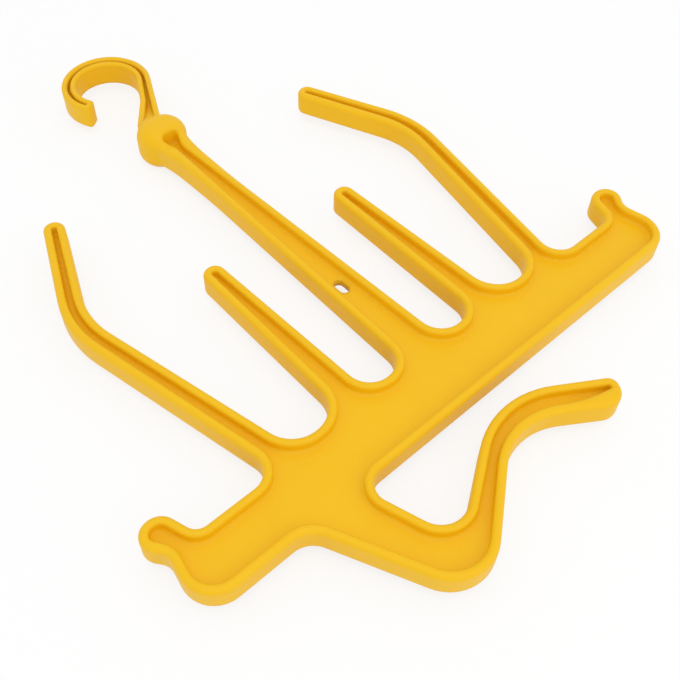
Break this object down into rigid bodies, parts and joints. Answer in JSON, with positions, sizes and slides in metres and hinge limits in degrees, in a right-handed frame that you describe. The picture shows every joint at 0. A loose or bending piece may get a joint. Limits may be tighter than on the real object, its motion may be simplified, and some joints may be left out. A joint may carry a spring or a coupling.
{
  "type": "wetsuit hanger",
  "caption": "Flat yellow moulded wetsuit hanger: ribbed crossbar with end lips, bent shoulder arms and prongs, shaft with a ball, rail hook above and J-hook below",
  "frame": {"origin": "Middle of the bounding box of the hanger lying flat, at the height of the ball's lowest point", "axes": "+X along the crossbar to the right, +Y up the shaft to the rail hook, +Z through the thickness"},
  "size_m": [0.4354, 0.5408, 0.0345],
  "materials": {
    "yellow_plastic": "satin as moulded"
  },
  "bodies": {
    "root": {"hanger": "yellow_plastic"}
  },
  "joints": []
}
